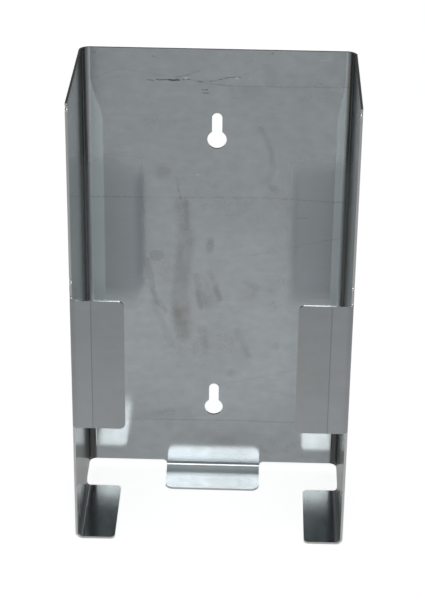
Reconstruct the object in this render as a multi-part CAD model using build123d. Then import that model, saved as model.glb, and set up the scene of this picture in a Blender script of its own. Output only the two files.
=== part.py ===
from build123d import *

import os

# A wall dispenser for one carton of disposable gloves. It is one blank of
# stainless sheet, cut and then folded on a press brake: a back panel, two side
# walls, a lip turned in from the front of each wall, a shelf tab turned in
# under each wall and a centre tab turned forward under the back panel.
#
# Frame, in millimetres: +X to the right, +Z up, the open front faces -Y. The
# rear face of the back panel lies in Y = 0, and the origin is midway between
# the entry circles of the two keyholes, on that face.

# --- Sheet and bends ---------------------------------------------------------
SHEET = 1.2                # sheet thickness
BACK_INSIDE = 4.0          # inside radius of the folds that leave the back panel
FLANGE_INSIDE = 2.0        # inside radius of the lips' and shelf tabs' folds

# --- Channel: back panel and side walls --------------------------------------
WIDTH = 140.0              # over the outer faces of the side walls
DEPTH = 82.0               # rear face to the front face of the lips
PANEL_HEIGHT = 243.0       # lower edge to top edge of the back panel

# --- Front lips --------------------------------------------------------------
LIP_WIDTH = 27.0           # outer face of the wall to the lip's free edge
LIP_HEIGHT = 72.5
LIP_RISE = 68.0            # panel's lower edge to the lip's lower edge
LIP_CORNER = 3.0           # rounding of the lip's free corners
RELIEF_RADIUS = 0.9        # round relief where a lip's fold ends

# --- Shelf tabs under the walls, centre tab under the panel ------------------
TAB_DROP = 5.4             # panel's lower edge down to the underside of the tabs
SHELF_WIDTH = 20.0         # outer face of the wall to the shelf tab's free edge
SHELF_SETBACK = 22.4       # rear face to the shelf tab's rear edge
SHELF_STEP = 5.9           # shelf tab's front edge behind the wall's front edge
SHELF_CORNER = 2.8
TAB_WIDTH = 51.5
TAB_REACH = 23.0           # rear face to the centre tab's front edge
TAB_CORNER = 4.5
ROOT_RADIUS = 2.5          # inner corners where a tab grows out of its edge

# --- Nicks in the walls' front edges -----------------------------------------
NICK_RADIUS = 1.7
NICK_DEPTH = 1.2
TOP_NICK_DROP = 2.6        # wall's top edge to the upper nick's middle
LIP_NICK_RISE = 9.0        # lip's top edge to the lower nick's middle

# --- Keyholes ----------------------------------------------------------------
ENTRY_RADIUS = 5.0         # lets the screw head in
SLOT_RADIUS = 2.65         # seats on the screw shank
SLOT_RISE = 12.0           # entry centre to slot-end centre
LOWER_ENTRY_RISE = 35.0    # panel's lower edge to the lower entry's centre
UPPER_ENTRY_DROP = 49.0    # panel's top edge to the upper entry's centre

# --- Sizes that follow -------------------------------------------------------
BACK_OUTSIDE = BACK_INSIDE + SHEET
FLANGE_OUTSIDE = FLANGE_INSIDE + SHEET
KEYHOLE_PITCH = PANEL_HEIGHT - UPPER_ENTRY_DROP - LOWER_ENTRY_RISE
PANEL_BOTTOM = -KEYHOLE_PITCH / 2 - LOWER_ENTRY_RISE
PANEL_TOP = PANEL_BOTTOM + PANEL_HEIGHT
TAB_BOTTOM = PANEL_BOTTOM - TAB_DROP
SHELF_LINE = TAB_BOTTOM + FLANGE_OUTSIDE   # height where the shelf tabs' folds begin
TAB_LINE = TAB_BOTTOM + BACK_OUTSIDE       # height where the centre tab's fold begins
WALL_X = WIDTH / 2
WALL_FRONT = -(DEPTH - FLANGE_OUTSIDE)       # cut edge of the walls, and the lips' bend line
SHELF_REAR = -SHELF_SETBACK
SHELF_FRONT = WALL_FRONT + SHELF_STEP
LIP_BOTTOM = PANEL_BOTTOM + LIP_RISE
LIP_TOP = LIP_BOTTOM + LIP_HEIGHT
OVERLAP = 10.0                             # how far a turned strip runs back into the sheet it joins
CLEAR = 10.0                               # how far cutting shapes run past the sheet


def strip(outer_points, outside_radius):
    """Section of bent sheet: the path of its outer face, thickened to the inside of its folds."""
    outer = FilletPolyline(*outer_points, radius=outside_radius)
    return make_face(offset(outer, amount=SHEET, side=Side.RIGHT, closed=True).edges())


def both_sides(right_hand):
    """The right-hand shape and its mirror image on the left."""
    return right_hand + mirror(right_hand, about=Plane.YZ)


def channel():
    """Back panel and side walls: a U in plan, as tall as the panel."""
    plan = strip(
        [(-WALL_X, WALL_FRONT), (-WALL_X, 0), (WALL_X, 0), (WALL_X, WALL_FRONT)],
        BACK_OUTSIDE,
    )
    return extrude(Pos(0, 0, SHELF_LINE) * plan, amount=PANEL_TOP - SHELF_LINE, dir=(0, 0, 1))


def right_shelf():
    """Shelf tab: an L in front view, along the lower edge of the right wall."""
    section = strip(
        [(WALL_X, SHELF_LINE + OVERLAP), (WALL_X, TAB_BOTTOM), (WALL_X - SHELF_WIDTH, TAB_BOTTOM)],
        FLANGE_OUTSIDE,
    )
    rear = SHELF_REAR + ROOT_RADIUS
    shelf = extrude(Plane.XZ.offset(-rear) * section, amount=rear - SHELF_FRONT, dir=(0, -1, 0))
    return shelf


def side_outline():
    """What the blank's outline leaves of a wall and its shelf tab, seen from the side."""
    below = TAB_BOTTOM - CLEAR
    above = PANEL_TOP + CLEAR
    with BuildSketch(Plane.YZ) as outline:
        with BuildLine():
            Polyline(
                (SHELF_REAR, PANEL_BOTTOM - ROOT_RADIUS),
                (SHELF_REAR, below),
                (SHELF_FRONT, below),
                (SHELF_FRONT, SHELF_LINE),
            )
            TangentArc(
                (SHELF_FRONT, SHELF_LINE),
                (WALL_FRONT, SHELF_LINE + SHELF_STEP),
                tangent=(-1, 0),
            )
            Polyline(
                (WALL_FRONT, SHELF_LINE + SHELF_STEP),
                (WALL_FRONT, above),
                (CLEAR, above),
                (CLEAR, PANEL_BOTTOM),
                (SHELF_REAR + ROOT_RADIUS, PANEL_BOTTOM),
            )
            TangentArc(
                (SHELF_REAR + ROOT_RADIUS, PANEL_BOTTOM),
                (SHELF_REAR, PANEL_BOTTOM - ROOT_RADIUS),
                tangent=(-1, 0),
            )
        make_face()
    return extrude(outline.sketch, amount=WALL_X + CLEAR, both=True)


def shelf_corners():
    """Trims the free corners of both shelf tabs, seen from above."""
    free_edge = WALL_X - SHELF_WIDTH
    middle = (SHELF_REAR + SHELF_FRONT) / 2
    length = SHELF_REAR - SHELF_FRONT
    reach = SHELF_WIDTH - FLANGE_OUTSIDE
    zone = Pos(free_edge + reach / 2, middle) * Rectangle(reach, length)
    kept = fillet(zone.vertices().group_by(Axis.X)[0], SHELF_CORNER)
    waste = extrude(Pos(0, 0, TAB_BOTTOM - CLEAR) * (zone - kept), amount=2 * CLEAR, dir=(0, 0, 1))
    return both_sides(waste)


def right_lip():
    """Front lip: a hook in plan, with the two corners of its free edge rounded."""
    plan = strip(
        [(WALL_X, WALL_FRONT + OVERLAP), (WALL_X, -DEPTH), (WALL_X - LIP_WIDTH, -DEPTH)],
        FLANGE_OUTSIDE,
    )
    lip = extrude(Pos(0, 0, LIP_BOTTOM) * plan, amount=LIP_HEIGHT, dir=(0, 0, 1))
    free_corners = lip.edges().filter_by(Axis.Y).group_by(Axis.X)[0]
    return fillet(free_corners, LIP_CORNER)


def centre_tab():
    """Centre tab: an L in side view, flared at its root where it leaves the panel."""
    section = strip(
        [(0, TAB_LINE + OVERLAP), (0, TAB_BOTTOM), (-TAB_REACH, TAB_BOTTOM)],
        BACK_OUTSIDE,
    )
    half = TAB_WIDTH / 2
    root = half + ROOT_RADIUS
    tab = extrude(Plane.YZ * section, amount=root, both=True)
    with BuildSketch(Plane.XZ) as outline:
        with BuildLine():
            Polyline((0, TAB_BOTTOM), (half, TAB_BOTTOM), (half, PANEL_BOTTOM - ROOT_RADIUS))
            TangentArc(
                (half, PANEL_BOTTOM - ROOT_RADIUS),
                (root, PANEL_BOTTOM),
                tangent=(0, 1),
            )
            Polyline((root, PANEL_BOTTOM), (root, PANEL_BOTTOM + CLEAR), (0, PANEL_BOTTOM + CLEAR))
            mirror(about=Plane.YZ)
        make_face()
    tab &= extrude(outline.sketch, amount=TAB_REACH)
    free_corners = tab.edges().filter_by(Axis.Z).group_by(Axis.Y)[0]
    return fillet(free_corners, TAB_CORNER)


def wall_nicks():
    """Half-moon nicks in the front edges of the walls, and the round reliefs at the lips' folds."""
    nick_centre = WALL_FRONT - (NICK_RADIUS - NICK_DEPTH)
    nicks = [
        Pos(0, nick_centre, height) * Rot(0, 90, 0) * Cylinder(NICK_RADIUS, WIDTH + CLEAR)
        for height in (PANEL_TOP - TOP_NICK_DROP, LIP_TOP + LIP_NICK_RISE)
    ]
    reliefs = [
        Pos(0, WALL_FRONT, height) * Rot(0, 90, 0) * Cylinder(RELIEF_RADIUS, WIDTH + CLEAR)
        for height in (LIP_BOTTOM, LIP_TOP)
    ]
    return nicks + reliefs


def keyhole():
    """Round entry with a slot rising from it, cut through the back panel."""
    slot = Pos(0, SLOT_RISE / 2) * SlotCenterToCenter(SLOT_RISE, 2 * SLOT_RADIUS, rotation=90)
    return extrude(Plane.XZ * (Circle(ENTRY_RADIUS) + slot), amount=CLEAR, both=True)


body = (channel() + both_sides(right_shelf())) & side_outline()
body -= shelf_corners()
body += both_sides(right_lip()) + centre_tab()
body -= wall_nicks()
body -= [Pos(0, 0, height) * keyhole() for height in (-KEYHOLE_PITCH / 2, KEYHOLE_PITCH / 2)]

os.makedirs("parts", exist_ok=True)
body.label = "folded_body"
export_step(body, "parts/folded_body.step")
print(f"keyhole pitch {KEYHOLE_PITCH:.1f} mm, overall {body.bounding_box().size}")
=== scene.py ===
# %% [markdown]
# # A wall dispenser for disposable gloves
#
# The real object is one sheet of stainless steel. A press cuts a flat blank, and a press brake
# folds it: a back panel, two side walls, a lip on the front of each wall, and three tabs that
# carry the carton. This lesson follows the same order. It draws the flat blank, folds it with
# Geometry Nodes, gives it the thickness of the sheet, and then spends its time on the metal.

# %% The fixed frame
import math

import bmesh
import bpy
from mathutils import Matrix, Vector


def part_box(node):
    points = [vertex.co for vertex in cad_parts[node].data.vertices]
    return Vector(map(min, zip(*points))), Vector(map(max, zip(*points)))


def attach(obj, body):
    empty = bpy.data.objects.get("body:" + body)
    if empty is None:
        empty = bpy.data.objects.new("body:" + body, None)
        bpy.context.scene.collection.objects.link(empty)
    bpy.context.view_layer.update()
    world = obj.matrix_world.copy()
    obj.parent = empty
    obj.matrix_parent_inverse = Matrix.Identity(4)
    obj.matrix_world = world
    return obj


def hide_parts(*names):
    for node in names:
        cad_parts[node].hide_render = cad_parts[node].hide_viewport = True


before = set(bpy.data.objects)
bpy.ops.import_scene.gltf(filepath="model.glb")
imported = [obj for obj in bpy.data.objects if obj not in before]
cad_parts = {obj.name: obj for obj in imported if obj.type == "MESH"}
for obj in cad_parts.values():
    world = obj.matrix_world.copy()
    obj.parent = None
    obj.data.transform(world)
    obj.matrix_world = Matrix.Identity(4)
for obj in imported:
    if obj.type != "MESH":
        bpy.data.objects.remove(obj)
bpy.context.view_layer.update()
low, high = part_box("folded_body")
print("folded_body", [round(v, 4) for v in low], [round(v, 4) for v in high])

# %% [markdown]
# ## Sizes of the blank
#
# Everything is in metres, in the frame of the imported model: X to the right, Z up, the open front
# towards -Y. Most sizes can be read from the model's box. What the box can't tell, such as the
# width of a lip, is named here. A fold keeps its length along the middle of the sheet, so the
# blank uses the middle radius: inside radius plus half the sheet.

# %% Sheet sizes
MM = 0.001
SHEET = 1.2 * MM
BACK_INSIDE = 4.0 * MM
FLANGE_INSIDE = 2.0 * MM
LIP_WIDTH = 27.0 * MM
LIP_HEIGHT = 72.5 * MM
LIP_RISE = 68.0 * MM
LIP_CORNER = 3.0 * MM
RELIEF_RADIUS = 0.9 * MM
TAB_DROP = 5.4 * MM
SHELF_WIDTH = 20.0 * MM
SHELF_SETBACK = 22.4 * MM
SHELF_STEP = 5.9 * MM
SHELF_CORNER = 2.8 * MM
TAB_WIDTH = 51.5 * MM
TAB_REACH = 23.0 * MM
TAB_CORNER = 4.5 * MM
ROOT_RADIUS = 2.5 * MM
NICK_RADIUS = 1.7 * MM
NICK_DEPTH = 1.2 * MM
TOP_NICK_DROP = 2.6 * MM
LIP_NICK_RISE = 9.0 * MM
ENTRY_RADIUS = 5.0 * MM
SLOT_RADIUS = 2.65 * MM
SLOT_RISE = 12.0 * MM
LOWER_ENTRY_RISE = 35.0 * MM
UPPER_ENTRY_DROP = 49.0 * MM

WALL_X = high.x
DEPTH = -low.y
PANEL_TOP = high.z
TAB_BOTTOM = low.z
PANEL_BOTTOM = TAB_BOTTOM + TAB_DROP
back_outside = BACK_INSIDE + SHEET
back_middle = BACK_INSIDE + SHEET / 2
back_length = back_middle * math.pi / 2
flange_outside = FLANGE_INSIDE + SHEET
flange_middle = FLANGE_INSIDE + SHEET / 2
flange_length = flange_middle * math.pi / 2

# %% [markdown]
# ## Where the folds lie on the blank
#
# On the flat blank `u` runs across and `v` runs up. On the back panel they are the same as X and
# Z. Past a fold, `u` or `v` goes on counting along the middle of the sheet, as a tape laid round
# the corner would. The folds that leave the back panel are rounder than those of the lips and
# the shelf tabs, so the three tabs start their folds at two heights and end at one level.

# %% Fold lines
wall_line = WALL_X - back_outside
wall_start = wall_line + back_length
lip_line = wall_start + (DEPTH - back_outside - flange_outside)
lip_end = lip_line + flange_length + (LIP_WIDTH - flange_outside)
tab_line = TAB_BOTTOM + back_outside
tab_end = tab_line - back_length - (TAB_REACH - back_outside)
shelf_line = TAB_BOTTOM + flange_outside
shelf_end = shelf_line - flange_length - (SHELF_WIDTH - flange_outside)
shelf_rear = wall_start + (SHELF_SETBACK - back_outside)
shelf_front = lip_line - SHELF_STEP
lip_bottom = PANEL_BOTTOM + LIP_RISE
lip_top = lip_bottom + LIP_HEIGHT
print(f"blank {2 * lip_end / MM:.1f} x {(PANEL_TOP - tab_end) / MM:.1f} mm")


# %% [markdown]
# ## The outline of the blank
#
# An outline is a list of corners and arcs. `arc` gives the points of a round stretch, so every
# rounding has a radius and not a list of numbers. Only the right half is written: the left half
# is its mirror image.

# %% Arcs and corners
ARC_STEP = math.radians(9)


def arc(centre, radius, start, end):
    """Points on a round stretch, from one angle to another, in degrees."""
    steps = max(2, math.ceil(abs(math.radians(end - start)) / ARC_STEP))
    angles = [math.radians(start + (end - start) * i / steps) for i in range(steps + 1)]
    return [(centre[0] + radius * math.cos(a), centre[1] + radius * math.sin(a)) for a in angles]


def nick(height):
    """A half-moon nick in the front edge of the wall, walked downwards."""
    centre = lip_line + NICK_RADIUS - NICK_DEPTH
    half = math.degrees(math.acos((NICK_RADIUS - NICK_DEPTH) / NICK_RADIUS))
    return arc((centre, height), NICK_RADIUS, 180 - half, 180 + half)


def keyhole(height):
    """A round entry with a slot rising from it, walked round once."""
    mouth = math.degrees(math.asin(SLOT_RADIUS / ENTRY_RADIUS))
    entry = arc((0, height), ENTRY_RADIUS, 90 + mouth, 450 - mouth)
    return entry + arc((0, height + SLOT_RISE), SLOT_RADIUS, 0, 180)


# %% The right half, from the middle of the top edge round to the middle of the centre tab
half_tab = TAB_WIDTH / 2
right_half = [
    (lip_line, PANEL_TOP),
    *nick(PANEL_TOP - TOP_NICK_DROP),
    *nick(lip_top + LIP_NICK_RISE),
    *arc((lip_line, lip_top), RELIEF_RADIUS, 90, 360),
    *arc((lip_end - LIP_CORNER, lip_top - LIP_CORNER), LIP_CORNER, 90, 0),
    *arc((lip_end - LIP_CORNER, lip_bottom + LIP_CORNER), LIP_CORNER, 0, -90),
    *arc((lip_line, lip_bottom), RELIEF_RADIUS, 0, 270),
    *arc((shelf_front, shelf_line + SHELF_STEP), SHELF_STEP, 0, -90),
    *arc((shelf_front - SHELF_CORNER, shelf_end + SHELF_CORNER), SHELF_CORNER, 0, -90),
    *arc((shelf_rear + SHELF_CORNER, shelf_end + SHELF_CORNER), SHELF_CORNER, 270, 180),
    *arc((shelf_rear - ROOT_RADIUS, PANEL_BOTTOM - ROOT_RADIUS), ROOT_RADIUS, 0, 90),
    *arc((half_tab + ROOT_RADIUS, PANEL_BOTTOM - ROOT_RADIUS), ROOT_RADIUS, 90, 180),
    *arc((half_tab - TAB_CORNER, tab_end + TAB_CORNER), TAB_CORNER, 0, -90),
]
outline = right_half + [(-u, v) for u, v in reversed(right_half)]
lower_entry = PANEL_BOTTOM + LOWER_ENTRY_RISE
upper_entry = PANEL_TOP - UPPER_ENTRY_DROP
holes = [keyhole(lower_entry), keyhole(upper_entry)]
print("outline points", len(outline), "hole points", [len(h) for h in holes])


# %% [markdown]
# ## The blank as a mesh
#
# The outline and the keyholes are filled to one flat face. A fold needs rows of points to bend
# along, so the blank is cut with a fan of parallel planes in each fold's zone, and nowhere else:
# flat stretches stay flat with very few faces. The flat place of each point is kept as a UV map
# in metres, and scratches and grain will use it. They then run over the folds as on real metal,
# which is rolled and scratched before it is folded.

# %% Filling and cutting the blank
FOLD_STEPS = 14
SNAP = 0.001 * MM
FLAT_WITHIN = math.radians(1)


def closed_loop(bm, points):
    """Adds a closed ring of edges to the mesh."""
    verts = [bm.verts.new((u, 0, v)) for u, v in points]
    return [bm.edges.new((a, b)) for a, b in zip(verts, verts[1:] + verts[:1])]


def cut(bm, point, normal):
    """Cuts every face along one plane."""
    everything = bm.verts[:] + bm.edges[:] + bm.faces[:]
    bmesh.ops.bisect_plane(bm, geom=everything, dist=SNAP, plane_co=point, plane_no=normal)


bm = bmesh.new()
edges = [e for loop in [outline, *holes] for e in closed_loop(bm, loop)]
bmesh.ops.triangle_fill(bm, edges=edges, use_beauty=True, normal=(0, -1, 0))
bmesh.ops.dissolve_limit(bm, angle_limit=FLAT_WITHIN, verts=[], edges=bm.edges[:])
for step in range(FOLD_STEPS + 1):
    part = step / FOLD_STEPS
    for side in (-1, 1):
        cut(bm, (side * (wall_line + back_length * part), 0, 0), (1, 0, 0))
        cut(bm, (side * (lip_line + flange_length * part), 0, 0), (1, 0, 0))
    cut(bm, (0, 0, tab_line - back_length * part), (0, 0, 1))
    cut(bm, (0, 0, shelf_line - flange_length * part), (0, 0, 1))
bmesh.ops.remove_doubles(bm, verts=bm.verts[:], dist=SNAP)
bmesh.ops.dissolve_degenerate(bm, edges=bm.edges[:], dist=SNAP)
bmesh.ops.triangulate(bm, faces=[f for f in bm.faces if len(f.verts) > 4])
for face in bm.faces:
    if face.normal.y > 0:
        face.normal_flip()
uv = bm.loops.layers.uv.new("blank")
for face in bm.faces:
    for loop in face.loops:
        loop[uv].uv = (loop.vert.co.x, loop.vert.co.z)
blank_mesh = bpy.data.meshes.new("blank")
bm.to_mesh(blank_mesh)
bm.free()
blank = bpy.data.objects.new("blank", blank_mesh)
bpy.context.scene.collection.objects.link(blank)
print("blank faces", len(blank_mesh.polygons))


# %% [markdown]
# ## Writing node trees as Python
#
# Both Geometry Nodes and materials are graphs of small nodes. `Wire` wraps one socket and gives
# it the usual operators, so `1 - mask` adds a Math node by itself. Every other node comes from
# `Graph.node`, which takes its type, its settings and what feeds its sockets.

# %% Wires and graphs
class Wire:
    """An output socket that can be used in sums."""

    def __init__(self, graph, socket):
        self.graph, self.socket = graph, socket

    def math(self, operation, *others):
        """A Math node with this wire as its first value."""
        values = dict(enumerate([self, *others]))
        return self.graph.node("ShaderNodeMath", {"operation": operation}, values)

    def reflected(self, operation, other):
        """A Math node with this wire as its second value."""
        return self.graph.node("ShaderNodeMath", {"operation": operation}, {0: other, 1: self})

    def clamped(self, highest=1.0):
        """The value, kept from 0 to the highest."""
        return self.math("MAXIMUM", 0.0).math("MINIMUM", highest)

    def __add__(self, other):
        return self.math("ADD", other)

    def __sub__(self, other):
        return self.math("SUBTRACT", other)

    def __mul__(self, other):
        return self.math("MULTIPLY", other)

    def __truediv__(self, other):
        return self.math("DIVIDE", other)

    def __rsub__(self, other):
        return self.reflected("SUBTRACT", other)


class Graph:
    """A node tree that is written one call at a time."""

    def __init__(self, tree):
        self.tree = tree

    def node(self, kind, settings=None, sockets=None, output=0):
        """A new node: its settings are set, and its sockets are linked or given their values."""
        made = self.tree.nodes.new(kind)
        for name, value in (settings or {}).items():
            setattr(made, name, value)
        for key, value in (sockets or {}).items():
            if isinstance(value, Wire):
                self.tree.links.new(value.socket, made.inputs[key])
            else:
                made.inputs[key].default_value = value
        return Wire(self, made.outputs[output] if made.outputs else None)


# %% [markdown]
# ## Folding the blank
#
# A press brake could be copied with armatures or with a bend modifier on each flange, but a fold
# is a simple rule: up to the fold line nothing moves, along the fold the sheet runs round an arc,
# and past it the sheet goes on straight in the new direction. `fold` writes that rule for one
# line. The outermost folds come first, just as on the press brake: the tabs, then the lips, and
# the walls last, which carry the rest round with them.

# %% The folding tree
fold_sizes = {
    "Centre tab line": tab_line,
    "Shelf tab line": shelf_line,
    "Shelf tabs from": wall_start,
    "Lip line": lip_line,
    "Wall line": wall_line,
    "Back radius": back_middle,
    "Flange radius": flange_middle,
    "Fold angle": math.pi / 2,
    "Sheet": SHEET,
}


def fold(along, out, line, radius, angle):
    """Turns what lies past the line inwards, and returns its new place along and out of the sheet."""
    past = along - line
    turned = (past / radius).clamped(angle)
    straight = (past - radius * angle).math("MAXIMUM", 0.0)
    before = past.math("MINIMUM", 0.0)
    arm = radius - out
    new_along = line + before + arm * turned.math("SINE") + straight * angle.math("COSINE")
    new_out = radius - arm * turned.math("COSINE") + straight * angle.math("SINE")
    return new_along, new_out


def fold_tree():
    """The node group that folds the flat blank."""
    tree = bpy.data.node_groups.new("fold_sheet", "GeometryNodeTree")
    face = tree.interface
    face.new_socket("Geometry", in_out="INPUT", socket_type="NodeSocketGeometry")
    for name in fold_sizes:
        face.new_socket(name, in_out="INPUT", socket_type="NodeSocketFloat")
    face.new_socket("Steel", in_out="INPUT", socket_type="NodeSocketMaterial")
    face.new_socket("Geometry", in_out="OUTPUT", socket_type="NodeSocketGeometry")
    g = Graph(tree)
    entry = tree.nodes.new("NodeGroupInput")
    given = {s.name: Wire(g, s) for s in entry.outputs if s.name}
    back, flange, angle = given["Back radius"], given["Flange radius"], given["Fold angle"]
    place = g.node("GeometryNodeInputPosition")
    u, v = (g.node("ShaderNodeSeparateXYZ", {}, {0: place}, axis) for axis in (0, 2))
    side, far = u.math("SIGN"), u.math("ABSOLUTE")
    shelf = far.math("GREATER_THAN", given["Shelf tabs from"])
    tab = 1 - shelf
    line = shelf * given["Shelf tab line"] + tab * given["Centre tab line"]
    down, out = fold(v * -1.0, v * 0.0, line * -1.0, shelf * flange + tab * back, angle)
    across, out = fold(far, out, given["Lip line"], flange, angle)
    across, out = fold(across, out, given["Wall line"], back, angle)
    folded = g.node(
        "ShaderNodeCombineXYZ",
        {},
        {0: across * side, 1: (out + given["Sheet"] / 2.0) * -1.0, 2: down * -1.0},
    )
    moved = g.node("GeometryNodeSetPosition", {}, {"Geometry": given["Geometry"], "Position": folded})
    real = g.node("GeometryNodeRealizeInstances", {}, {0: moved})
    finished = g.node("GeometryNodeSetMaterial", {}, {"Geometry": real, "Material": given["Steel"]})
    leave = tree.nodes.new("NodeGroupOutput")
    tree.links.new(finished.socket, leave.inputs[0])
    return tree


def applied(name, source):
    """A plain mesh object from the source with all its modifiers, which are then gone."""
    bpy.context.view_layer.update()
    evaluated = source.evaluated_get(bpy.context.evaluated_depsgraph_get())
    mesh = bpy.data.meshes.new_from_object(evaluated)
    mesh.name = name
    made = bpy.data.objects.new(name, mesh)
    bpy.context.scene.collection.objects.link(made)
    bpy.data.objects.remove(source)
    return made


inside_steel = bpy.data.materials.new("satin_steel_inside")
outside_steel = bpy.data.materials.new("satin_steel_outside")
edge_steel = bpy.data.materials.new("sheared_edge_steel")
folding = blank.modifiers.new("fold", "NODES")
folding.node_group = fold_tree()
for item in folding.node_group.interface.items_tree:
    if item.name in fold_sizes:
        folding[item.identifier] = fold_sizes[item.name]
    elif item.name == "Steel":
        folding[item.identifier] = inside_steel
skin = applied("folded_skin", blank)
print("folded", len(skin.data.vertices), "points,", [m.name for m in skin.data.materials])

# %% [markdown]
# ## The thickness of the sheet
#
# Up to here the sheet is a skin at the middle of the metal. Solidify gives it 0.6 mm on each side
# and closes the rim, which gets a finish of its own, because sheared metal looks different from
# rolled metal. A small bevel then breaks the sheared edges: on the real piece they are tumbled,
# and a narrow round catches a line of light. Weighted normals keep the flats flat beside it.

# %% Thickness and broken edges
EDGE_BREAK = 0.14 * MM
EDGE_STEPS = 2
EDGE_FROM = math.radians(60)
SMOOTH_UP_TO = math.radians(40)

for metal in (outside_steel, edge_steel):
    skin.data.materials.append(metal)
shell = skin.modifiers.new("thickness", "SOLIDIFY")
shell.thickness = SHEET
shell.offset = 0.0
shell.material_offset = 1
shell.material_offset_rim = 2
broken = skin.modifiers.new("broken_edges", "BEVEL")
broken.width = EDGE_BREAK
broken.segments = EDGE_STEPS
broken.limit_method = "ANGLE"
broken.angle_limit = EDGE_FROM
solid = applied("glove_dispenser_sheet", skin)
solid.data.shade_smooth()
solid.data.set_sharp_from_angle(angle=SMOOTH_UP_TO)
weights = solid.modifiers.new("flat_flats", "WEIGHTED_NORMAL")
weights.keep_sharp = True
sheet = applied("satin_folded_sheet", solid)
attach(sheet, "root")
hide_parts("folded_body")
print("sheet faces", len(sheet.data.polygons), [m.name for m in sheet.data.materials])

# %% [markdown]
# ## Masks for the metal
#
# A metal has no light of its own: it shows its surroundings, tinted and blurred. What tells steel
# from chrome is small: a haze over the mirror, a fine rolling grain, and the traces of handling.
# Each trace is a mask between 0 and 1, drawn on the flat blank in millimetres. `Flat` holds that
# place and makes the masks. Pictures could do this too, but masks stay sharp at any distance.

# %% Masks on the flat blank
PER_METRE = 1000.0
SEED_STEP = (7.31, 3.17)
OTHER_SEED = 5.0
FULL_SHARE = 0.2


class Flat:
    """The place on the flat blank, in millimetres, and masks that are drawn there."""

    def __init__(self, graph):
        self.g = graph
        metres = graph.node("ShaderNodeUVMap", {"uv_map": "blank"})
        self.place = self.vector("SCALE", metres, scale=PER_METRE)
        self.across = graph.node("ShaderNodeSeparateXYZ", {}, {0: self.place}, output=0)
        self.upwards = graph.node("ShaderNodeSeparateXYZ", {}, {0: self.place}, output=1)

    def vector(self, operation, *values, scale=None):
        """A Vector Math node. Lengths and dot products come out as plain numbers."""
        sockets = dict(enumerate(values))
        if scale is not None:
            sockets["Scale"] = scale
        output = 1 if operation in ("DOT_PRODUCT", "LENGTH") else 0
        return self.g.node("ShaderNodeVectorMath", {"operation": operation}, sockets, output)

    def noise(self, size, seed, detail=2.0):
        """Soft noise around 0.5, with features of about the given width and height."""
        width, height = size
        scaled = self.vector("MULTIPLY", self.place, (1 / width, 1 / height, 1.0))
        moved = self.vector("ADD", scaled, (seed * SEED_STEP[0], seed * SEED_STEP[1], 0.0))
        return self.g.node(
            "ShaderNodeTexNoise",
            {"noise_dimensions": "2D"},
            {"Vector": moved, "Scale": 1.0, "Detail": detail},
        )

    def ramp(self, value, start, end, low_value=0.0, high_value=1.0):
        """A smooth step of the value from start to end."""
        return self.g.node(
            "ShaderNodeMapRange",
            {"interpolation_type": "SMOOTHSTEP"},
            {0: value, 1: start, 2: end, 3: low_value, 4: high_value},
        )

    def zone(self, *borders):
        """1 inside all borders. Each is a value and a pair: where the mask is 0, and where it is 1."""
        inside = None
        for value, (nothing, full) in borders:
            step = self.ramp(value, nothing, full)
            inside = step if inside is None else inside * step
        return inside

    def shaken(self, amount, size, seed):
        """The place, pushed about by noise, so that drawn lines and blots lose their ruler look."""
        push = self.g.node(
            "ShaderNodeCombineXYZ",
            {},
            {
                0: (self.noise((size, size), seed) - 0.5) * (2 * amount),
                1: (self.noise((size, size), seed + OTHER_SEED) - 0.5) * (2 * amount),
            },
        )
        return self.vector("ADD", self.place, push)

    def blot(self, place, centre, radii, edge):
        """A round or oval patch: 1 inside, fading to 0 at its rim over the given share."""
        away = self.vector("SUBTRACT", place, (*centre, 0.0))
        away = self.vector("MULTIPLY", away, (1 / radii[0], 1 / radii[1], 0.0))
        return self.ramp(self.vector("LENGTH", away), 1.0, 1.0 - edge)

    def line(self, place, points, width):
        """A scratch along straight runs between points, fading to its sides."""
        nearest = None
        for (ax, ay), (bx, by) in zip(points, points[1:]):
            run = (bx - ax, by - ay, 0.0)
            length_squared = run[0] ** 2 + run[1] ** 2
            away = self.vector("SUBTRACT", place, (ax, ay, 0.0))
            share = self.vector("DOT_PRODUCT", away, run) / length_squared
            foot = self.vector("SCALE", run, scale=share.clamped())
            distance = self.vector("LENGTH", self.vector("SUBTRACT", away, foot))
            nearest = distance if nearest is None else nearest.math("MINIMUM", distance)
        return self.ramp(nearest, width, width * FULL_SHARE)


# %% [markdown]
# ## Satin steel
#
# One blurred reflection can't be both: the sheet mirrors the tab's edge almost sharply, and at the
# same time it glows softly from every side. So the finish is two Principled shaders, a mirror and
# a haze, and a Mix Shader says how much of each shows. The rolling grain runs across the sheet, so
# it blurs upwards and downwards more than to the sides: Anisotropic does that, and a quarter turn
# gives it the right direction. Four masks change the plain finish: grease and painted shade tint
# it, scratches and the painted near-black cores of the folds darken it, lighter specks, painted
# light and a painted reflection lighten it, and matt places show more of the haze. A thin film
# lies everywhere, uneven as a wiped sheet is.

# %% Satin steel
INSIDE_COLOUR = (0.74, 0.795, 0.83, 1.0)
OUTSIDE_COLOUR = (0.60, 0.63, 0.65, 1.0)
# Also painted shade on the inside's folds, walls, shelf tabs and panel foot.
GREASE_AND_SHADE_COLOUR = (0.44, 0.445, 0.43, 1.0)
# Also the painted near-black shade cores of the inside folds.
SCRATCH_AND_SHADE_COLOUR = (0.13, 0.13, 0.13, 1.0)
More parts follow.
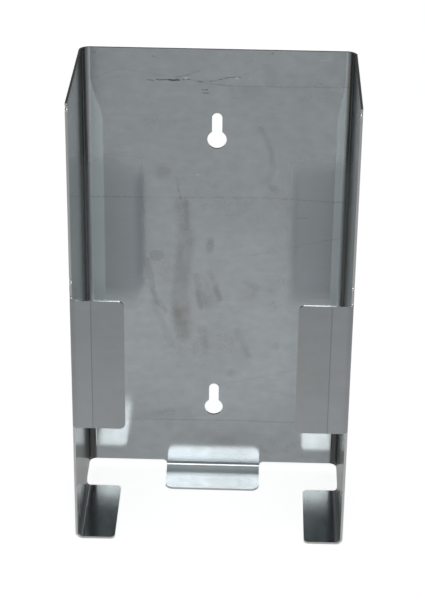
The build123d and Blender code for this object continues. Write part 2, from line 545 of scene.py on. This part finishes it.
# Lighter specks, and also painted light and a painted reflection on the inside.
SPECK_AND_PAINTED_LIGHT_COLOUR = (0.90, 0.98, 1.0, 1.0)
MIRROR_ROUGHNESS = 0.13
MIRROR_GRAIN = 0.6
HAZE_ROUGHNESS = 0.65
HAZE_GRAIN = 0.5
HAZE_SHARE = 0.22
CLOUD_HAZE = 0.2
MOTTLE_HAZE = 0.1
QUARTER_TURN = 0.25
FILM = 0.3
CLOUD_FILM = 0.3
MOTTLE_FILM = 0.25
GRAIN_FILM = 0.3
GRAIN_SIZE = (26.0, 0.22)
CLOUD_SIZE = (48.0, 38.0)
MOTTLE_SIZE = (7.0, 5.0)
WAVE_SIZE = (55.0, 70.0)
WAVE_HEIGHT = 0.06 * MM


def principled(g, colour, roughness, normal=None, anisotropic=0.0):
    """A metal Principled shader, which blurs more across the grain than along it."""
    sockets = {"Base Color": colour, "Metallic": 1.0, "Roughness": roughness}
    sockets["Anisotropic"] = anisotropic
    sockets["Anisotropic Rotation"] = QUARTER_TURN
    if normal:
        sockets["Normal"] = normal
    return g.node("ShaderNodeBsdfPrincipled", {}, sockets)


def mixed(g, share, first, second):
    """A colour between two, by a share that stays from 0 to 1."""
    sockets = {0: share.clamped(), 6: first, 7: second}
    return g.node("ShaderNodeMix", {"data_type": "RGBA"}, sockets, output=2)


def steel(material, plain_colour, draw_masks, unevenness=1.0):
    """Builds the finish, with the traces, painted shade and painted light that the function draws."""
    material.use_nodes = True
    material.node_tree.nodes.clear()
    g = Graph(material.node_tree)
    flat = Flat(g)
    darkening, deep_darkening, lightening, matt = draw_masks(flat)
    grain = flat.noise(GRAIN_SIZE, seed=1.0, detail=3.0) - 0.5
    cloud = flat.noise(CLOUD_SIZE, seed=2.0, detail=3.0) - 0.5
    mottle = flat.noise(MOTTLE_SIZE, seed=4.0, detail=3.0) - 0.5
    uneven_film = (cloud * CLOUD_FILM + mottle * MOTTLE_FILM) * unevenness
    # The grease colour also stands for painted shade on the inside.
    colour = mixed(g, darkening + FILM + uneven_film + grain * GRAIN_FILM, plain_colour, GREASE_AND_SHADE_COLOUR)
    # Lighter specks, and on the inside painted light and a painted reflection.
    if lightening is not None:
        colour = mixed(g, lightening, colour, SPECK_AND_PAINTED_LIGHT_COLOUR)
    # The scratch colour also paints the near-black shade cores of the inside folds.
    colour = mixed(g, deep_darkening, colour, SCRATCH_AND_SHADE_COLOUR)
    wave = flat.noise(WAVE_SIZE, seed=3.0, detail=1.0)
    normal = g.node("ShaderNodeBump", {}, {"Strength": 1.0, "Distance": WAVE_HEIGHT, "Height": wave})
    mirror = principled(g, colour, MIRROR_ROUGHNESS, normal, MIRROR_GRAIN)
    haze = principled(g, colour, HAZE_ROUGHNESS, normal, HAZE_GRAIN)
    uneven_haze = (cloud * CLOUD_HAZE + mottle * MOTTLE_HAZE) * unevenness
    share = (matt + HAZE_SHARE + uneven_haze).clamped()
    both = g.node("ShaderNodeMixShader", {}, {0: share, 1: mirror, 2: haze})
    g.node("ShaderNodeOutputMaterial", {}, {0: both})


# %% [markdown]
# ## Smears and scratches inside
#
# The inside has been loaded, wiped and scratched for years. Each trace is a short list of points
# or an oval in millimetres on the blank, with a width and a strength, so it can be moved or taken
# out by itself. Noise shakes the lines and rims a little, because a ruler-straight scratch looks
# drawn. Greasy fingers left the smears in the lower half, and a sharp tool the crackled scratch
# near the top. A line is its points, its half width and its strength, and an oval its middle, its
# half sizes, the share of it that fades, and its strength.

# %% Smears and scratches
SCRATCHES = (
    (((-70, 112.8), (-61, 112.8), (-54, 115.9), (-48, 117.4), (-35, 115.4), (-17.5, 112)), 0.45, 0.14),
    (((-17.5, 112), (4.4, 109.3), (22.8, 109), (68, 109.7)), 0.4, 0.30),
    (((-35.4, 111.5), (-32.8, 111.3)), 0.5, 0.6),
    (((-31, 111.9), (-26.2, 111.7), (-19.2, 111.8)), 0.5, 0.75),
    (((-24.5, 111.7), (-19.4, 111.9)), 0.8, 0.5),
    (((-17.5, 112.5), (-9.6, 111.3), (-0.9, 111.8), (5.2, 113.5), (11.3, 114.1)), 0.45, 0.6),
    (((-21, 113.4), (-14, 114.9), (-8.8, 117.3)), 0.35, 0.4),
    (((12.2, 115), (17.8, 116.5)), 0.35, 0.35),
    (((13.4, 121), (18.1, 123)), 0.35, 0.35),
    (((-7.8, 106.7), (-5.2, 106.7)), 0.6, 0.7),
    (((-8.2, 104.9), (-4.7, 105)), 0.45, 0.6),
    (((-63.2, 125.4), (-61.5, 125.9)), 0.5, 0.5),
    (((-33.6, 124.6), (-32, 124)), 0.5, 0.4),
    (((27.2, 127.2), (27.9, 126.8)), 0.6, 0.5),
    (((-65.2, 46), (-17.6, 46.6), (27.8, 47.3), (67, 45.4)), 0.4, 0.30),
    (((-20.7, 58.9), (-19.7, 51), (-17.1, 41)), 0.5, 0.30),
    (((-7.2, 42.8), (-2.6, 42.6)), 0.4, 0.25),
    (((42, 36), (48.3, 36.5)), 0.5, 0.22),
    (((16.9, 13.4), (29, 15.9), (65.5, 25.1)), 0.4, 0.18),
    (((-8.5, -67.8), (20.7, -61.4), (43.2, -55.2)), 0.4, 0.13),
    (((19.7, -66.8), (43.7, -70.8)), 0.4, 0.13),
    (((-47.5, -88.4), (-19, -88.3), (8, -87.9), (45.5, -88.4)), 0.5, 0.32),
    (((31.5, -13.6), (31.5, -14.5)), 0.5, 0.45),
    (((32.4, -16.6), (32.5, -17.4)), 0.5, 0.5),
)
SMEARS = (
    (((-18, 42), (-16, 29), (-16.6, 12.6), (-17.5, -1), (-19, -9.3), (-17.4, -34)), 6.8, 0.60),
    (((-16, 46), (-15.3, 29)), 2.0, 0.35),
    (((-36.4, 10), (-35.2, 1), (-34.4, -7), (-31.9, -13), (-26.5, -20.5)), 2.6, 0.50),
    (((-32.3, -15.8), (-28, -29), (-23.8, -39.8)), 3.2, 0.30),
    (((-10.7, 1.9), (-9.2, -6), (-8, -18)), 2.4, 0.35),
    (((-3.7, 3.4), (0, -4), (2.5, -13)), 2.4, 0.40),
    (((-6.6, -30), (-4.9, -45.4)), 3.0, 0.25),
    (((12.7, -32), (17.7, -46)), 3.0, 0.28),
    (((15.4, -2.3), (22.8, -6.2), (29.6, -6.7)), 2.6, 0.25),
    (((21.5, 86.5), (24.7, 81), (28, 73.4), (29.4, 63.7), (26, 56.6), (31, 51.8)), 2.4, 0.32),
)
BLOTS = (
    ((-31.4, 12.6), (4.4, 4.0), 0.35, 0.55),
    ((-3.2, 18.6), (3.4, 6.2), 0.7, 0.60),
    ((-17.0, -24.0), (9.0, 9.0), 0.7, 0.30),
    ((-3.5, -12.0), (8.5, 10.0), 0.6, 0.42),
    ((19.0, -10.0), (7.0, 6.0), 0.8, 0.22),
    ((33.7, -40.5), (3.5, 3.5), 0.8, 0.35),
    ((9.3, -57.6), (4.5, 3.5), 0.8, 0.30),
    ((14.1, 106.0), (11.0, 7.5), 0.6, 0.30),
    ((26.5, 115.5), (6.0, 9.0), 0.6, 0.22),
    ((22.0, 85.5), (4.5, 3.5), 0.8, 0.30),
    ((-29.0, 61.0), (8.0, 5.5), 0.8, 0.38),
    ((-56.0, 68.0), (11.0, 13.0), 0.8, 0.35),
    ((-24.0, -84.5), (22.0, 6.0), 0.9, 0.35),
    ((0.0, -25.0), (42.0, 48.0), 0.9, 0.22),
)
SPECKS = (
    (((-16.9, 112.8), (-15.6, 113)), 0.8, 1.0),
    (((9.2, 113.3), (10.4, 113.5)), 0.7, 1.0),
    (((16.2, 113.2), (16.6, 113.2)), 0.6, 0.7),
    (((-10.5, 59.3), (-8.7, 60)), 0.5, 0.6),
    (((36.8, 123.5), (39, 123.2)), 0.45, 0.35),
    (((52, 123.5), (58, 124.7)), 0.45, 0.35),
    (((19.2, 19), (23.1, 21.8)), 0.5, 0.22),
)
SCRATCH_SHAKE = {"amount": 0.5, "size": 4.0, "seed": 3.0}
SMEAR_SHAKE = {"amount": 1.6, "size": 13.0, "seed": 6.0}
SMEAR_STRENGTH = 0.6
SMEAR_MATT = 0.1
BREAK_SIZE = (1.6, 1.6)
BREAK_RANGE = (0.38, 0.55)
BREAK_LEAVES = 0.25
PATCH_SIZE = (6.0, 12.0)
PATCH_RANGE = (0.25, 0.65)
PATCH_LEAVES = 0.55


def drawn(flat, place, lines):
    """Listed lines, each with its half width and strength, added up."""
    total = 0.0
    for points, width, strength in lines:
        total = flat.line(place, points, width) * strength + total
    return total


def listed_smears(flat):
    """Where the listed smears and blots are, and how greasy they are there."""
    loose = flat.shaken(**SMEAR_SHAKE)
    smears = drawn(flat, loose, SMEARS)
    for centre, radii, edge, strength in BLOTS:
        smears = flat.blot(loose, centre, radii, edge) * strength + smears
    patchy = flat.noise(PATCH_SIZE, seed=8.0, detail=1.5)
    return smears, smears * flat.ramp(patchy, *PATCH_RANGE, PATCH_LEAVES, 1.0) * SMEAR_STRENGTH


def listed_scratches(flat):
    """Every listed scratch, broken up along its length."""
    breaks = flat.noise(BREAK_SIZE, seed=5.0, detail=2.0)
    breaks = flat.ramp(breaks, *BREAK_RANGE, BREAK_LEAVES, 1.0)
    return drawn(flat, flat.shaken(**SCRATCH_SHAKE), SCRATCHES) * breaks


# %% [markdown]
# ## Zones of painted shade, painted light and wear inside
#
# The folded sheet isn't even. Painted shade darkens the folds and the walls, most of all below the
# lips, and also the shelf tabs and the foot of the panel above the centre tab; the folds get a
# near-black painted core. A painted reflection of the walls lays a light strip on the panel beside
# each side fold. It is wider on the left, fades out towards the top and stops above the shelf tabs.
# The carton's flanks leave the panel behind the lips matt, and its bottom does the same to the
# centre tab; both places are also lightened with painted light over their dark reflections.
# A zone lies inside its borders, and each border is a pair of places on the blank: where the zone
# is 0, and where it is fully 1. So every zone can be moved, made softer or made stronger by itself.

# %% Where the folds lie, in millimetres
FOLD_IN = wall_line / MM
FOLD_OUT = wall_start / MM
LIP_FOLD = lip_line / MM
SHELF_TOP = shelf_line / MM
SHELF_FLAT = (shelf_line - flange_length) / MM
TAB_TOP = tab_line / MM
TAB_FLAT = (tab_line - back_length) / MM

# %% Borders of the zones
LOW_END = (-40.0, -60.0)
FOLD_FROM = (FOLD_IN + 0.5, FOLD_IN + 2.5)
FOLD_TO = (FOLD_OUT + 1.0, FOLD_OUT - 1.0)
WALL_FROM = (FOLD_OUT - 1.0, FOLD_OUT + 1.0)
WALL_TO = (LIP_FOLD + 1.0, LIP_FOLD - 1.0)
WALL_BOTTOM = (SHELF_TOP - 1.0, SHELF_TOP + 1.0)
SHELF_FROM = (SHELF_TOP, SHELF_TOP - 1.0)
SHELF_SIDE = (FOLD_OUT - 3.0, FOLD_OUT)
SHELF_FOLD_FROM = (SHELF_TOP + 0.5, SHELF_TOP - 0.5)
SHELF_FOLD_TO = (SHELF_FLAT - 1.5, SHELF_FLAT)
SHELF_FOLD_SIDE = (FOLD_OUT - 1.0, FOLD_OUT)
# The light strips are a painted reflection of the walls in the panel.
STRIP_LEFT = 6.0
STRIP_RIGHT = 3.2
STRIP_MIDDLE = (-1.0, 1.0)
STRIP_TOP = (114.0, 88.0)
STRIP_BOTTOM = (-88.0, -78.0)
STRIP_FROM = (0.4, -0.4)
STRIP_TO = (-1.0, 0.0)
FLANK_FROM = (36.0, 45.0)
FLANK_TO = (FOLD_OUT, FOLD_IN)
FLANK_TOP = (72.0, 60.0)
FLANK_BOTTOM = (-22.0, -2.0)
TAB_FROM = (TAB_TOP - 1.5, TAB_TOP - 4.5)
TAB_TO = (TAB_FLAT - 8.0, TAB_FLAT + 1.0)
TAB_SIDE = (27.0, 26.0)
# The panel's foot above the centre tab, darkened as painted shade.
FOOT_MIDDLE = (0.0, -104.0)
FOOT_RADII = (44.0, 18.0)

# %% Strengths of the zones
# Painted shade on the folds: a darkening and a near-black core.
FOLD_PAINTED_SHADE = 0.8
FOLD_PAINTED_CORE = 0.3
# Painted shade on the walls.
WALL_PAINTED_SHADE = 0.5
# Painted shade on the shelf tabs.
SHELF_PAINTED_SHADE = 0.42
SHELF_FOLD_MATT = 0.5
# Painted shade at the panel's foot.
FOOT_PAINTED_SHADE = 0.3
LOW_FOLD_SHIFT = 0.9
# Below the lips the folds' painted core and the walls' painted shade grow stronger.
LOW_FOLD_PAINTED_CORE = 0.65
LOW_WALL_PAINTED_SHADE = 0.6
STRIP_MATT = 0.4
FLANK_MATT = 0.75
# Painted light behind the lips, over the lips' dark reflection.
FLANK_PAINTED_LIGHT = 0.3
TAB_MATT = 0.85
# Painted light on the centre tab's fold, over its dark band.
TAB_PAINTED_LIGHT = 0.6


def painted_reflection_strips(flat, side):
    """Painted reflection of the walls: light strips beside the side folds, which taper towards the
    top.
    """
    width = flat.ramp(flat.across, *STRIP_MIDDLE, STRIP_LEFT, STRIP_RIGHT)
    width = width * flat.ramp(flat.upwards, *STRIP_TOP)
    inwards = side * -1.0 + FOLD_IN
    strip = (inwards - width, STRIP_FROM)
    return flat.zone(strip, (inwards, STRIP_TO), (flat.upwards, STRIP_BOTTOM))


def inside_traces_and_painted_light(flat):
    """Grease, scratches, painted shade, painted light and matt places on the face that carries the
    gloves.
    """
    v, side = flat.upwards, flat.across.math("ABSOLUTE")
    low = flat.zone((v, LOW_END))
    # Painted shade: the folds are darkened and get a near-black core, wider below the lips.
    fold = flat.zone((side + low * LOW_FOLD_SHIFT, FOLD_FROM), (side, FOLD_TO))
    # Painted shade on the walls above the shelf tabs.
    wall = flat.zone((side, WALL_FROM), (side, WALL_TO), (v, WALL_BOTTOM))
    # Painted shade on the shelf tabs.
    shelf = flat.zone((v, SHELF_FROM), (side, SHELF_SIDE))
    shelf_fold = flat.zone((v, SHELF_FOLD_FROM), (v, SHELF_FOLD_TO), (side, SHELF_FOLD_SIDE))
    # Matt behind the lips, and painted light there over the lips' dark reflection.
    flanks = flat.zone((side, FLANK_FROM), (side, FLANK_TO), (v, FLANK_TOP), (v, FLANK_BOTTOM))
    # Matt on the centre tab's fold, and painted light there over its dark band.
    tab = flat.zone((v, TAB_FROM), (v, TAB_TO), (side, TAB_SIDE))
    # Painted shade at the panel's foot above the centre tab.
    foot = flat.blot(flat.place, FOOT_MIDDLE, FOOT_RADII, 1.0)
    # A painted reflection of the walls beside the side folds.
    reflection_strips = painted_reflection_strips(flat, side)

    smears, greasy = listed_smears(flat)
    # Grease from the listed smears, and painted shade on the folds, walls, panel foot and shelf tabs.
    darkening = greasy + fold * FOLD_PAINTED_SHADE + wall * (low * LOW_WALL_PAINTED_SHADE + WALL_PAINTED_SHADE)
    darkening = darkening + foot * FOOT_PAINTED_SHADE + shelf * SHELF_PAINTED_SHADE
    # Listed scratches, and the painted near-black shade cores of the folds.
    deep_darkening = listed_scratches(flat) + fold * (low * LOW_FOLD_PAINTED_CORE + FOLD_PAINTED_CORE)
    # Lighter specks, a painted reflection beside the side folds, and painted light on the tab's fold
    # and behind the lips.
    lightening = drawn(flat, flat.place, SPECKS) + reflection_strips + tab * TAB_PAINTED_LIGHT + flanks * FLANK_PAINTED_LIGHT
    matt = shelf_fold * SHELF_FOLD_MATT + flanks * FLANK_MATT + smears * SMEAR_MATT
    matt = matt + reflection_strips * STRIP_MATT + tab * TAB_MATT
    return darkening, deep_darkening, lightening, matt


steel(inside_steel, INSIDE_COLOUR, inside_traces_and_painted_light)

# %% [markdown]
# ## Traces of the die outside
#
# The outside was only slid over the press brake's die. Its shoulder left one fine line beside
# each lip fold, and hands have left a few faint smears. Nothing has rubbed it.

# %% Die marks and smears
DIE_MARK_IN = 16.4
DIE_MARK_WIDTH = 0.45
DIE_MARK_FULL = 0.3
DIE_MARK_STRENGTH = 0.3
SLID_EDGE = 0.5
SLID_GREASE = 0.12
HAND_SIZE = (34.0, 26.0)
HAND_RANGE = (0.45, 0.75)
HAND_GREASE = 0.06
HAND_MATT = 0.05
OUTSIDE_UNEVENNESS = 0.5


def outside_traces(flat):
    """Faint smears, and the die's line down each lip."""
    hands = flat.ramp(flat.noise(HAND_SIZE, seed=9.0, detail=1.5), *HAND_RANGE)
    side = flat.across.math("ABSOLUTE")
    mark = lip_end / MM - DIE_MARK_IN
    away = (side - mark).math("ABSOLUTE")
    line = flat.ramp(away, DIE_MARK_WIDTH, DIE_MARK_WIDTH * DIE_MARK_FULL)
    slid = flat.ramp(side, mark - SLID_EDGE, mark + SLID_EDGE)
    darkening = hands * HAND_GREASE + slid * SLID_GREASE
    return darkening, line * DIE_MARK_STRENGTH, None, hands * HAND_MATT


steel(outside_steel, OUTSIDE_COLOUR, outside_traces, OUTSIDE_UNEVENNESS)

# %% [markdown]
# ## Sheared edges
#
# The edges of the sheet were cut by a punch and then tumbled. They are bare metal, without the
# film and the grain of the faces, so they are a little lighter and warmer.

# %% Sheared edges
EDGE_COLOUR = (0.78, 0.78, 0.75, 1.0)
EDGE_ROUGHNESS = 0.15

edge_steel.use_nodes = True
edge_steel.node_tree.nodes.clear()
g = Graph(edge_steel.node_tree)
edge_shader = principled(g, EDGE_COLOUR, EDGE_ROUGHNESS)
g.node("ShaderNodeOutputMaterial", {}, {0: edge_shader})

# %% [markdown]
# ## The camera
#
# The dispenser stands on its tabs and is looked at from in front and well above, with a long
# lens from about a metre away.

# %% Camera
CAMERA_PLACE = Vector((20.481, -931.225, 465.429)) * MM
CAMERA_YAW = math.radians(1.344)
CAMERA_PITCH = math.radians(27.231)
CAMERA_ROLL = math.radians(0.673)
LENS = 116.99
SENSOR_WIDTH = 36.0
NEAREST = 0.01

camera_data = bpy.data.cameras.new("camera")
camera_data.lens = LENS
camera_data.sensor_width = SENSOR_WIDTH
camera_data.clip_start = NEAREST
camera = bpy.data.objects.new("camera", camera_data)
turn = Matrix.Rotation(CAMERA_YAW, 4, "Z") @ Matrix.Rotation(math.pi / 2 - CAMERA_PITCH, 4, "X")
turn = turn @ Matrix.Rotation(CAMERA_ROLL, 4, "Z")
camera.matrix_world = Matrix.Translation(CAMERA_PLACE) @ turn
bpy.context.scene.collection.objects.link(camera)
bpy.context.scene.camera = camera

# %% [markdown]
# ## Floor
#
# A pale matt floor carries the dispenser and takes its shadow. Lamps bright enough to make it
# white would burn out the steel, so it has a glow of its own, split by Light Path: seen by the
# camera it glows up to white, and seen in the metal it adds only a little, more near the
# dispenser than far from it. The flat panel mirrors that floor, so this glow sets the panel's
# grey from top to bottom.

# %% Floor
FLOOR_SIZE = 12.0
FLOOR_GAP = 0.05 * MM
PAPER_COLOUR = (0.85, 0.85, 0.85, 1.0)
WHITE = (1.0, 1.0, 1.0, 1.0)
SEEN_GLOW = 0.80
NEAR_GLOW = 0.235
FAR_GLOW = 0.142
NEAR_LINE = 0.21
FAR_LINE = 0.40

floor_mesh = bpy.data.meshes.new("floor")
half_floor = FLOOR_SIZE / 2
floor_z = TAB_BOTTOM - FLOOR_GAP
corners = [(x * half_floor, y * half_floor, floor_z) for x, y in ((-1, -1), (1, -1), (1, 1), (-1, 1))]
floor_mesh.from_pydata(corners, [], [(0, 1, 2, 3)])
floor = bpy.data.objects.new("floor", floor_mesh)
bpy.context.scene.collection.objects.link(floor)

paper = bpy.data.materials.new("floor_paper")
paper.use_nodes = True
paper.node_tree.nodes.clear()
floor_mesh.materials.append(paper)
g = Graph(paper.node_tree)
lit = g.node("ShaderNodeBsdfDiffuse", {}, {"Color": PAPER_COLOUR})
seen = g.node("ShaderNodeLightPath", {}, {}, output="Is Camera Ray")
glossy = g.node("ShaderNodeLightPath", {}, {}, output="Is Glossy Ray")
through = g.node("ShaderNodeLightPath", {}, {}, output="Is Transmission Ray")
place = g.node("ShaderNodeTexCoord", {}, {}, output="Object")
away = g.node("ShaderNodeVectorMath", {"operation": "LENGTH"}, {0: place}, output="Value")
mirrored = g.node(
    "ShaderNodeMapRange",
    {"interpolation_type": "SMOOTHSTEP"},
    {0: away, 1: NEAR_LINE, 2: FAR_LINE, 3: NEAR_GLOW, 4: FAR_GLOW},
)
strength = seen * SEEN_GLOW + glossy.math("MAXIMUM", through) * mirrored
glow = g.node("ShaderNodeEmission", {}, {"Color": WHITE, "Strength": strength})
paper_shader = g.node("ShaderNodeAddShader", {}, {0: lit, 1: glow})
g.node("ShaderNodeOutputMaterial", {}, {0: paper_shader})

# %% [markdown]
# ## Light
#
# The sheet's square corners send light back to where it came from, so a soft box close to the
# camera makes the tabs and the patches beside them flash white, while the flat sheet, which
# mirrors the floor in front, stays grey. A honeycomb on the box (Spread) keeps its light off the
# far floor.

# %% Light
BOX_RADIANCE = 0.34
BOX_SIZE = 0.45
BOX_SPREAD = math.radians(60)
BOX_PLACE = Vector((0.02, -1.08, 0.56))
BOX_TARGET = Vector((0.0, -0.02, -0.03))

box_data = bpy.data.lights.new("front_box", "AREA")
box_data.shape = "SQUARE"
box_data.size = BOX_SIZE
box_data.energy = BOX_RADIANCE * math.pi * BOX_SIZE**2
box_data.spread = BOX_SPREAD
front_box = bpy.data.objects.new("front_box", box_data)
front_box.location = BOX_PLACE
front_box.rotation_euler = (BOX_TARGET - BOX_PLACE).to_track_quat("-Z", "Y").to_euler()
bpy.context.scene.collection.objects.link(front_box)

# %% [markdown]
# ## Room
#
# The room has dim walls and a brighter ceiling, which the rounded folds show as lines of light
# along their length. Behind the floor's edge the camera sees white, and nothing but the camera
# does, so the background adds no light to the metal.

# %% Room
ROOM_TINT = (0.97, 1.0, 1.03, 1.0)
WALL_LIGHT = 0.07
CEILING_LIGHT = 0.92
CEILING_FROM = 0.78
STRAIGHT_UP = 1.0

world = bpy.data.worlds.new("room")
bpy.context.scene.world = world
world.use_nodes = True
world.node_tree.nodes.clear()
g = Graph(world.node_tree)
direction = g.node("ShaderNodeTexCoord", {}, {}, output="Generated")
upwards = g.node("ShaderNodeSeparateXYZ", {}, {0: direction}, output="Z")
dimmed = {0: upwards, 1: CEILING_FROM, 2: STRAIGHT_UP, 3: WALL_LIGHT, 4: CEILING_LIGHT}
room_light = g.node("ShaderNodeMapRange", {}, dimmed)
seen = g.node("ShaderNodeLightPath", {}, {}, output="Is Camera Ray")
tint = mixed(g, seen, ROOM_TINT, WHITE)
strength = room_light.math("MAXIMUM", seen)
room = g.node("ShaderNodeBackground", {}, {"Color": tint, "Strength": strength})
g.node("ShaderNodeOutputWorld", {}, {0: room})
bpy.context.scene.view_settings.view_transform = "Standard"
